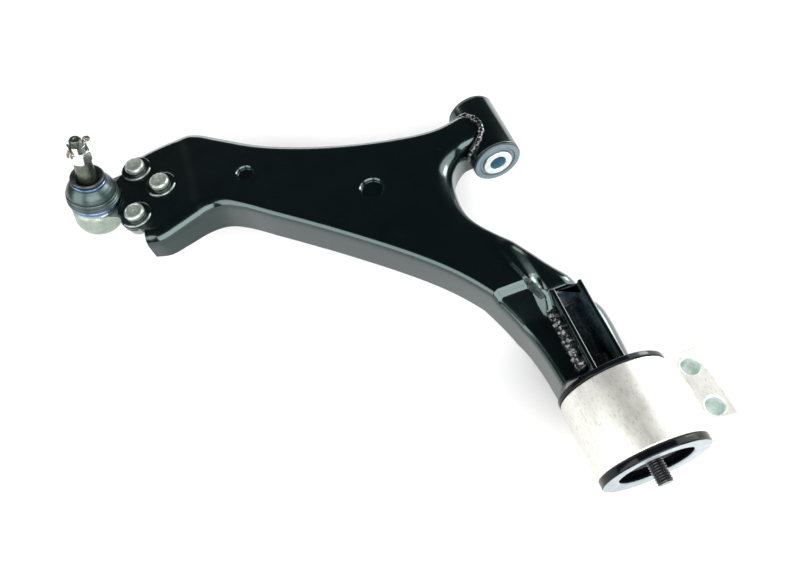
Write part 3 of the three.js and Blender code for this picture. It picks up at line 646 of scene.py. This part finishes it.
# ---- welds ---------------------------------------------------------------------------------------
def bead(name, points, radius, pitch, seed, rough):
    """Weld bead: overlapping ripples along a smooth path, with lumps."""
    index = np.linspace(0, len(points) - 1, max(24, int(len(points) * 26)))
    path = []
    for u in index:
        i = min(len(points) - 2, int(u))
        p = [Vector(points[min(len(points) - 1, max(0, i + k))]) for k in (-1, 0, 1, 2)]
        w = u - i
        path.append(0.5 * (2 * p[1] + (p[2] - p[0]) * w + (2 * p[0] - 5 * p[1] + 4 * p[2] - p[3]) * w ** 2
                           + (3 * p[1] - p[0] - 3 * p[2] + p[3]) * w ** 3))
    run = [0.0]
    for a, b in zip(path[:-1], path[1:]):
        run.append(run[-1] + (b - a).length)
    total = run[-1]

    def radius_at(i, w):
        s = run[i]
        ripple = 1 + 0.1 * abs(math.sin(math.pi * (s / pitch + 0.18 * math.sin(w * 2))))
        lump = 1 + rough * noise.noise(Vector((s / 3.1 + seed, math.cos(w) * 0.9, math.sin(w) * 0.9)))
        taper = ease(min(s, total - s) / 2.5 + 0.25)
        return radius * ripple * lump * taper

    return tube(name, path, radius_at, sides=20, smooth=70)


# turn about the tube from straight up, in degrees, and y
front_seam = ((64, 49), (45, 48.5), (28, 44), (17, 37), (13, 29), (17, 21), (30, 15), (48, 12), (70, 12),
              (92, 13))
front_path = [(-(FB_R + 0.6) * math.sin(math.radians(t)), y, (FB_R + 0.6) * math.cos(math.radians(t)))
              for t, y in front_seam]
finish_piece(bead("front_tube_weld", front_path, 2.4, 3.4, 1.7, 0.42), WELD, "arm", "black_coat")
LEG = PLATE_Z - LEG_DROP
for side, label in ((-1, "outer"), (1, "inner")):
    x = RB_X + side * (CRADLE_R + 1.9)
    lines = []
    heavy = ((0.1, 3.4, 2.9, 3.1), (-2.0, 1.4, 2.8, 8.4))  # sideways, up, radius, seed
    light = ((-0.6, 1.0, 1.7, 3.1), (0.2, 0.4, 1.7, 8.4))
    for dx, dz, r, seed in heavy if side < 0 else light:
        path = [(x + dx + 0.5 * noise.noise(Vector((k * 0.9, seed, 0))), -147 - k * 7.3,
                 LEG + dz + 0.4 * noise.noise(Vector((seed, k * 0.8, 0)))) for k in range(9)]
        lines.append(bead("run", path, r, 4.6, seed + side, 0.5))
    finish_piece(joined(f"cradle_weld_{label}", *lines), COAT_ROUGH, "arm", "black_coat")

# ---- front bush ----------------------------------------------------------------------------------
o = lathe("front_tube", ((18, FB_START), (FB_R, FB_START), (FB_R, FB_END), (18, FB_END)), ON_FRONT, 0.9,
          sides=128)
finish_piece(o, COAT, "arm", "black_coat", "front_bush_tube")
o = lathe("front_can", ((15.9, FB_START), (17.7, FB_START), (17.7, FB_END), (15.9, FB_END)), ON_FRONT, 0.3)
finish_piece(o, CAN_STEEL, "arm", "can_steel", "front_bush_can")
rubber_end = []
for flip in (0, 1):
    side = [(FB_SLEEVE_R + 0.2, 0.4), (13.6, 0.9), (15.4, 1.0), (16.4, 0.4), (20.4, 0.2), (21.3, 0.9),
            (21.3, 2.1), (15.6, 2.2)]
    rubber_end.append([(r, FB_LENGTH - h if flip else h) for r, h in side])
o = lathe("front_rubber", rubber_end[0] + rubber_end[1][::-1], ON_FRONT, 0.45)
finish_piece(o, [FRONT_RUBBER_SHEEN, LIP], "arm", "front_rubber", "front_bush_rubber")
# the flat end faces keep the painted grey-blue sheen; the other faces get the near-black rubber
second_material(o, lambda q, normal: abs(normal.y) < 0.93)
o = lathe("front_sleeve_piece", ((FB_BORE_R, -1, 0.9), (FB_SLEEVE_R, -1), (FB_SLEEVE_R, FB_LENGTH + 1),
                                 (FB_BORE_R, FB_LENGTH + 1, 0.9)), ON_FRONT, 0.5)
finish_piece(o, [ZINC, BLUISH_BORE], "front_sleeve", "sleeve_zinc", "front_bush_sleeve")
second_material(o, lambda q, normal: math.hypot(q.x, q.z) < FB_BORE_R + 0.35)

# ---- rear pin, cradle, bush and housing ------------------------------------------------------------
def trough(name, r, top, low, high):
    """Solid bar with a round underside and straight walls, along the rear bush's axis."""
    arc = [math.pi * (1 + k / 40) for k in range(41)]
    pts = [(-r, top)] + [(r * math.cos(a), r * math.sin(a)) for a in arc] + [(r, top)]
    return prism(name, pts, low, high, ON_REAR)


inner_r = CRADLE_R - CRADLE_WALL
o = trough("pin_cradle", CRADLE_R, CRADLE_TOP - RB_Z, -CRADLE_FRONT, -CRADLE_BACK)
inside = trough("inside", inner_r, CRADLE_TOP - RB_Z + 5, CRADLE_WEB - CRADLE_FRONT, 5 - CRADLE_BACK)
boolean(o, inside, "DIFFERENCE")
notch = ((RB_X - inner_r, CRADLE_FRONT - 10), (RB_X + inner_r, CRADLE_FRONT - 10),
         (RB_X + inner_r, CRADLE_FRONT + 10), (RB_X - inner_r, CRADLE_FRONT + 10))
boolean(o, prism("notch", notch, PLATE_Z - THICK - 0.5, PLATE_Z + 20), "DIFFERENCE")
finish_piece(shade(bevelled(o, 0.8, 3, 50), 35), [COAT, CRADLE_INSIDE_LIGHT], "arm", "black_coat", "rear_pin_cradle")
# the inside faces of the cradle get the lightened material with the painted sheen
second_material(o, lambda q, normal: abs(q.x - RB_X) < inner_r + 0.1 and q.z < CRADLE_TOP - 0.9
                and CRADLE_BACK + 0.1 < q.y < CRADLE_FRONT - CRADLE_WEB + 0.2)

collar = RB_FRONT - 1.8  # where the pin widens to its collar
shank = lathe("shank", ((0, collar - 17), (PIN_R, collar - 17, 1), (PIN_R, collar, 0.2), (15, collar, 0.6),
                        (15, collar + 3.1, 0.6), (7, collar + 3.1, 0), (7, 256, 0.6), (5, 257.5, 0),
                        (5, 271, 0), (0, 271)), ON_REAR, 0.5, False)
screw = thread("screw", 5.05, 5.95, 270.5, STUD_TIP, 1.75, ON_REAR, 48, 8, end=1.2)
finish_piece(joined("threaded_pin", shank, screw), PIN, "arm", "pin_steel", "rear_pin")
o = lathe("front_flange", ((19, RB_FRONT), (RB_R - 0.4, RB_FRONT), (RB_R + 0.4, RB_FRONT + 0.8),
                           (RB_R + 0.4, RB_FRONT + 4.2), (19, RB_FRONT + 4.2)), ON_REAR, 0.9, sides=128)
finish_piece(o, CAN_BLACK, "rear_mount", "can_black", "rear_bush_front_flange")
can_r, end = RB_CAN_R, RB_BACK
o = lathe("rear_can", ((can_r - 2, RB_FRONT + 5), (can_r, RB_FRONT + 5), (can_r, end - 5.6, 0.3),
                       (RB_R - 1.2, end - 5.6), (RB_R - 0.4, end - 4.8), (RB_R - 0.4, end - 0.9, 0.9),
                       (RB_R - 1.2, end, 0.5), (28.2, end - 0.4, 0.8), (27, end - 1.4, 0.8),
                       (27.2, end - 3, 0.8), (can_r - 2, end - 4.6, 0.8)), ON_REAR, 0.4, sides=128)
finish_piece(o, [CAN_BLACK, CAN_FACE_REFLECTION], "rear_mount", "can_black", "rear_bush_can")
# the can's end face gets the painted reflection
second_material(o, lambda q, normal: -q.y > end - 1.0
                and 27.1 < math.hypot(q.x - RB_X, q.z - RB_Z) < RB_R - 1.0)
o = lathe("rear_rubber", ((13.3, 221.8), (17, 221.8), (22, 228, 3), (27, 221.8), (can_r - 2.3, 222.2),
                          (can_r - 2.3, 275), (27.6, 275.4, 1), (23.5, 264, 5), (17.5, 259.4, 4),
                          (13.3, 257.6)), ON_REAR, 0.6)
finish_piece(o, REAR_RUBBER, "rear_mount", "rear_rubber", "rear_bush_rubber")
o = lathe("rear_sleeve", ((7.3, 217.8), (13, 217.8), (13, 258.2), (7.3, 258.2)), ON_REAR, 0.4, sides=64)
finish_piece(o, CAN_STEEL, "arm", "can_steel", "rear_bush_sleeve")


def hexagon(name, flats, low, high, bore, place, chamfer=0.12):
    """Hexagon nut body with chamfered corners."""
    n, rings = 72, []
    for h, grow in ((low, 1 - chamfer), (low + 1.1, 1.0), (high - 1.1, 1.0), (high, 1 - chamfer)):
        ring = []
        for k in range(n):
            a = 2 * math.pi * k / n
            edge = flats / 2 / math.cos((a % (math.pi / 3)) - math.pi / 6)
            reach = flats / 2 / math.cos(math.pi / 6) * grow + (0 if grow < 1 else 0.2)
            ring.append((min(edge, reach) * math.cos(a), min(edge, reach) * math.sin(a), h))
        rings.append(ring)
    for h in (high, high - 0.8, low + 0.8, low):
        r = bore + (0.7 if h in (low, high) else 0)
        turns = [2 * math.pi * k / n for k in range(n)]
        rings.append([(r * math.cos(a), r * math.sin(a), h) for a in turns])
    m = len(rings)
    verts = [v for ring in rings for v in ring]
    faces = [[i * n + k, i * n + (k + 1) % n, ((i + 1) % m) * n + (k + 1) % n, ((i + 1) % m) * n + k]
             for i in range(m) for k in range(n)]
    return mesh_object(name, verts, faces, place, 25)


washer = lathe("washer", ((6.3, 258.5), (12.4, 258.5), (12.4, 260), (10.5, 261.8), (6.3, 261.8)), ON_REAR,
               0.4)
finish_piece(joined("pin_nut", hexagon("hex", 18, 261, 271, 6.2, ON_REAR), washer), PIN, "arm", "pin_steel",
             "rear_nut")

front, back = RB_FRONT + 4.5, RB_BACK - 5.9
barrel = lathe("housing", ((0, front), (RB_R, front, 0.9), (RB_R, back, 1.2), (0, back)), ON_REAR, 0.9, False,
               160)
ear_outline = [(RB_X + 10, EAR_TOP)]
for cz, start in ((EAR_TOP - EAR_ROUND, 90), (EAR_BOTTOM + EAR_ROUND, 0)):
    for k in range(11):
        a = math.radians(start - 9 * k)
        ear_outline.append((EAR_END_X - EAR_ROUND + EAR_ROUND * math.cos(a), cz + EAR_ROUND * math.sin(a)))
ear_outline.append((RB_X + 10, EAR_BOTTOM))
ear = prism("ear", ear_outline, EAR_FRONT, EAR_BACK, PLACE @ Matrix.Rotation(math.pi / 2, 4, "X"))
bevelled(ear, 1.6, 4, 40)
boolean(barrel, ear, "UNION")
boolean(barrel, cylinder("bore", 0, 0, can_r + 0.1, 200, 300, 160, ON_REAR), "DIFFERENCE")
for x, y in EAR_HOLES:
    punch = lathe("punch", ((0, -40), (EAR_HOLE_R, -40), (EAR_HOLE_R, EAR_TOP - 0.9, 0),
                            (EAR_HOLE_R + 1.2, EAR_TOP + 0.3, 0), (EAR_HOLE_R + 1.2, 60), (0, 60)),
                  PLACE @ Matrix.Translation((x, y, 0)), 0.5, False, 64)
    boolean(barrel, punch, "DIFFERENCE")
barrel.name = "housing_casting"
finish_piece(shade(barrel, 32), [ALUMINIUM, EAR_HOLE_SHADE], "rear_mount", "cast_aluminium", "rear_housing")
# the walls of the ear holes get the painted shade
second_material(barrel, lambda q, normal: any(math.hypot(q.x - x, q.y - y) < EAR_HOLE_R + 0.9
                                              for x, y in EAR_HOLES))

# ---- ball joint ------------------------------------------------------------------------------------
cup = lathe("cup", ((0, -29.4), (16, -29.4), (18.8, -27.5, 3), (20.7, -22, 4), (20.7, -7, 1),
                    (19.6, -4.6, 0.7), (19.3, 1.5), (18.6, 2.2), (0, 2.2)), ON_BALL, 0.8, False, 128)
lugs = prism("lugs", ((-345, 120), (-304, 125), (-296, 122), (-275, 98), (-276, 81), (-305, 55), (-318, 56.5),
                      (-324, 66), (-329, 75), (-337, 79), (-345, 80)), LUG_LOW, LUG_HIGH)
for i, (x, y) in enumerate(RIVETS):
    boolean(lugs, cylinder("lug", x, y, 10 if i == 0 else 12.4, LUG_LOW, LUG_HIGH, 64), "UNION")
bevelled(lugs, 0.9, 3, 40)
boolean(lugs, cylinder("clear", 0, 0, 23, -3, 40, 96, ON_BALL), "DIFFERENCE")
boolean(cup, lugs, "UNION")
hollow = lathe("hollow", ((0, -30), (15.6, -30), (15.6, -26.6), (15.3, -26.6), (15.3, -6.2), (13.3, -1.5),
                          (13.3, 3), (0, 3)), ON_BALL, 0.0, False, 64)
boolean(cup, hollow, "DIFFERENCE")
for x, y in RIVETS:
    boolean(cup, cylinder("hole", x, y, RIVET_R + GAP, 0, 20, 48), "DIFFERENCE")
cup.name = "joint_housing"
finish_piece(shade(cup, 32), CUP, "arm", "forged_zinc", "ball_housing")
o = lathe("end_cap", ((0, -28.9), (14.2, -28.9), (15.2, -28.2), (15.2, -27), (0, -27)), ON_BALL, 0.4, False)
finish_piece(o, CUP, "arm", "forged_zinc", "ball_end_cap")


def ball_arc(r, start, stop, steps):
    """Arc about the ball's centre, its angles in degrees from straight down."""
    turns = [math.radians(start + (stop - start) * i / steps) for i in range(steps + 1)]
    return [(r * math.sin(a), -BALL_DROP - r * math.cos(a), 0) for a in turns]


o = lathe("seat_shell", ball_arc(12.8, 44, 128, 16) + ball_arc(14.9, 44, 128, 16)[::-1], ON_BALL, 0)
finish_piece(o, SEAT, "seat", "seat_plastic", "ball_seat")
cone = lathe("cone", [(0, -BALL_DROP - 11.3)] + ball_arc(BALL_R, 26, 150, 30)
             + [(5.8, 0.5, 1), (6.4, 12, 2), (8.2, 20, 1.5), (8.2, 26, 1), (7.4, 48, 0.5), (6.9, 48.6, 0),
                (4.8, 48.7, 0), (4.8, 54, 0), (0, 54)], ON_BALL, 0.4, False)
screw = thread("screw", 4.2, 4.95, 53.5, 71.4, 1.25, ON_BALL, 48, 8, end=0.9)
tip = lathe("tip", ((4.15, 70.9), (4.15, 71.9, 0.6), (1.5, 72, 0), (0.9, 71.2, 0), (0, 70.9)), ON_BALL, 0.2,
            False)
finish_piece(joined("stud", cone, screw, tip), STUD, "stud", "stud_steel", "ball_stud")


lower_profile = ((19.2, BOOT_FOOT), (21.7, BOOT_FOOT, 0.5), (22.3, 4.3, 0.8), (22.3, 5.4, 0.8),
                 (21.1, 6.1, 0.5), (22.1, 6.9, 0.9), (22.1, 8.3, 0.9), (20.8, 9.1, 0.5), (21.6, 9.9, 0.9),
                 (21.6, 11.4, 0.9), (20.9, 12.25, 0.4), (19.6, 12.25), (19, 6))
upper_profile = ((19.5, BOOT_FOLD), (20.05, BOOT_FOLD, 0.2), (20.75, 13.2, 0.5), (20.2, 14.9, 3),
                 (18.9, 17.6, 4), (16.8, 20.6, 3), (14.6, 22.9, 0.8), (13.4, 23.4, 0.4), (13.3, 26.2, 0.4),
                 (13.9, 27.2, 0.7), (14.3, 28.6, 0.8), (13.6, 29.8, 0.7), (12.4, 29.8, 0.6),
                 (11.4, 27.6, 1.2), (9, 26.2, 0.6), (8.9, 22.6), (14.6, 19.4, 2), (17.9, 15.8, 2))
low = lathe("boot_base", lower_profile, ON_BALL, 0.3, sides=128, smooth=60)
top = lathe("boot_top", upper_profile, ON_BALL, 0.3, sides=128, smooth=60)
for piece, a, b, start, stop, node in ((low, "arm", "seat", BOOT_FOOT, BOOT_FOLD, "boot_lower"),
                                       (top, "seat", "collar", BOOT_FOLD, BOOT_NECK, "boot_upper")):
    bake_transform(piece)
    finish_piece(piece, BOOT, None, "boot_rubber", node)
top.data.materials.append(LIP)
INTO_BALL = ON_BALL.inverted() @ PLACE


def on_lip(q, normal):
    """True on the boot's top lip and inside its neck."""
    p = INTO_BALL @ q
    return p.z > 26.6 or math.hypot(p.x, p.y) < 13.2


second_material(top, on_lip)


def wire_ring(name, radius, h, wire, seed):
    """Two turns of spring wire round the boot."""
    turns, n = 2, 240
    path = []
    for k in range(n + 1):
        u = k / n
        a = 2 * math.pi * turns * u + seed
        path.append((radius * math.cos(a), radius * math.sin(a), h + (u - 0.5) * wire * 1.9))
    return tube(name, path, wire, ON_BALL, 12)


o = wire_ring("lower_ring_wire", 20.95, 1.2, 0.72, 2.2)
band = lathe("band", ((19.6, -0.8), (21.1, -0.8), (21.6, -0.2), (21.6, 2.6), (21.1, 3.2), (19.6, 3.2)),
             ON_BALL, 0.5)
finish_piece(joined("lower_ring", o, band), BLUE, "arm", "ring_steel", "boot_lower_ring")
o = wire_ring("upper_ring_wire", 14.15, 24.9, 0.62, 2.4)
band = lathe("band", ((13.5, 23.5), (14.2, 23.5), (14.7, 24), (14.7, 25.8), (14.2, 26.2), (13.5, 26.2)),
             ON_BALL, 0.4)
finish_piece(joined("upper_ring", o, band), BLUE, "collar", "ring_steel", "boot_upper_ring")

# castle nut: a hexagon and a crown with three slots across it
ON_NUT = ON_BALL @ Matrix.Rotation(math.radians(NUT_TURN), 4, "Z")
nut = hexagon("nut", NUT_FLATS, NUT_LOW, NUT_TOP, 5.1, ON_NUT, 0.09)
crown = lathe("crown", ((5.1, NUT_TOP - 1.4, 0), (7.6, NUT_TOP - 1.4, 0), (7.6, CROWN - 0.2, 0.8),
                        (6.9, CROWN, 0.3), (5.9, CROWN, 0.4), (5.1, CROWN - 0.9, 0.2)), ON_BALL, 0.2,
              sides=96)
boolean(nut, crown, "UNION")
slot = ((-11, -SLOT / 2), (11, -SLOT / 2), (11, SLOT / 2), (-11, SLOT / 2))
for k in range(3):
    place = ON_NUT @ Matrix.Rotation(math.pi * k / 3, 4, "Z")
    boolean(nut, prism("slot", slot, CROWN - 7, CROWN + 2, place), "DIFFERENCE")
nut.name = "slotted_nut"
bevelled(nut, 0.22, 2, 40)
finish_piece(shade(nut, 30), ZINC, "stud", "nut_zinc", "castle_nut")

# split pin: eye on one side, two legs spread and bent down on the other
at = SPLIT_PIN_AT
legs = []
for side, reach in ((-1, 5), (1, 6.2)):
    path = [(8.4, side * 0.5, at), (4, side * 0.55, at), (-4, side * 0.55, at), (-7.4, side * 0.55, at)]
    path += [(-7.4 - 2.2 * math.sin(t), side * (0.55 + 1.3 * (1 - math.cos(t))), at - 2.2 * (1 - math.cos(t)))
             for t in (0.5, 1.0, 1.45)]
    path += [(-9.75, side * 1.9, at - 3.6), (-9.85, side * 2.1, at - reach)]
    legs.append(tube("leg", path, 0.95, ON_NUT, 12, up=(0, 1, 0.2)))
turns = [2 * math.pi * k / 24 for k in range(24)]
eye = [(8.6 + 2.1 * (1 - math.cos(a)), 1.9 * math.sin(a), at) for a in turns]
legs.append(tube("eye", eye, 1.15, ON_NUT, 12, closed=True))
finish_piece(joined("cotter", *legs), WIRE, "stud", "pin_wire", "split_pin")


def dished(a, r, h):
    """Uneven top of a hammered rivet head."""
    if h > 20.9 and r < 7.4:
        lump = 0.16 * noise.noise(Vector((r * math.cos(a) * 0.5, r * math.sin(a) * 0.5, h)))
        return r, h + lump
    return r, h


for i, (x, y) in enumerate(RIVETS):
    at_rivet = PLACE @ Matrix.Translation((x, y, 0))
    head = ((0, -1.2), (6.5, -1.2, 1), (8.6, 0.6, 0.8), (8.6, 3.4), (RIVET_R, 3.4, 0), (RIVET_R, 17.1, 0),
            (8.5, 17.1, 0.5), (8.7, 20.2, 1.0), (7.9, 22.1, 0.7), (7.0, 22.1, 0.4), (6.6, 21.7, 0.5),
            (5.2, 21.85, 1), (2.6, 22.05, 1), (1.0, 22.0, 0.3), (0.6, 21.7, 0.2), (0, 21.7))
    o = lathe(f"rivet_head_{i + 1}", head, at_rivet, 0.3, False, 72, smooth=50, warp=dished)
    finish_piece(o, RIVET, "arm", "rivet_steel", f"rivet_{i + 1}")

# ---- floor, lights, camera ---------------------------------------------------------------------------
me = bpy.data.meshes.new("floor")
half = 12.0
me.from_pydata([(-half, -half, 0), (half, -half, 0), (half, half, 0), (-half, half, 0)], [], [(0, 1, 2, 3)])
floor = bpy.data.objects.new("floor", me)
bpy.context.scene.collection.objects.link(floor)
floor.location.z = CAD_BOX[0].z - 0.0005
me.materials.append(FLOOR)


def softbox(name, at, width, height, power):
    """White area light that faces the origin."""
    light = bpy.data.lights.new(name, "AREA")
    light.shape, light.size, light.size_y, light.energy = "RECTANGLE", width, height, power
    o = bpy.data.objects.new(name, light)
    bpy.context.scene.collection.objects.link(o)
    o.location = at
    o.rotation_mode = "QUATERNION"
    o.rotation_quaternion = (-Vector(at)).to_track_quat("-Z", "Y")


softbox("left", (-1.5, -0.5, 0.9), 1.4, 1.6, 34)
softbox("right", (1.56, 0.08, 0.76), 1.5, 1.5, 30)
softbox("right_strip", (1.55, 0.42, 0.5), 0.5, 0.6, 13)
softbox("camera_side", (0.2, -1.6, 0.92), 2.2, 1.5, 66)
softbox("back", (-0.2, 2.2, 0.5), 2.4, 0.7, 24)
world = bpy.data.worlds.new("studio")
world.use_nodes = True
world.node_tree.nodes["Background"].inputs["Color"].default_value = (0.9, 0.95, 1.0, 1)
world.node_tree.nodes["Background"].inputs["Strength"].default_value = 0.045
bpy.context.scene.world = world
bpy.context.scene.view_settings.view_transform = "Standard"

camera_data = bpy.data.cameras.new("camera")
camera_data.sensor_width = 36
camera_data.lens = 31.18
camera = bpy.data.objects.new("camera", camera_data)
bpy.context.scene.collection.objects.link(camera)
# the view's own directions, from the angle at which the object is seen
RIGHT = Vector((0.9378, -0.3254, -0.1211))
DOWN = Vector((-0.3409, -0.7968, -0.4989))
AHEAD = Vector((0.0658, 0.5091, -0.8582))
camera.rotation_mode = "QUATERNION"
camera.rotation_quaternion = Matrix((RIGHT, -DOWN, -AHEAD)).transposed().to_quaternion()
camera.location = PLACE @ Vector((-155.6, -369.1, 476.9))
camera_data.clip_start = 0.01
bpy.context.scene.camera = camera
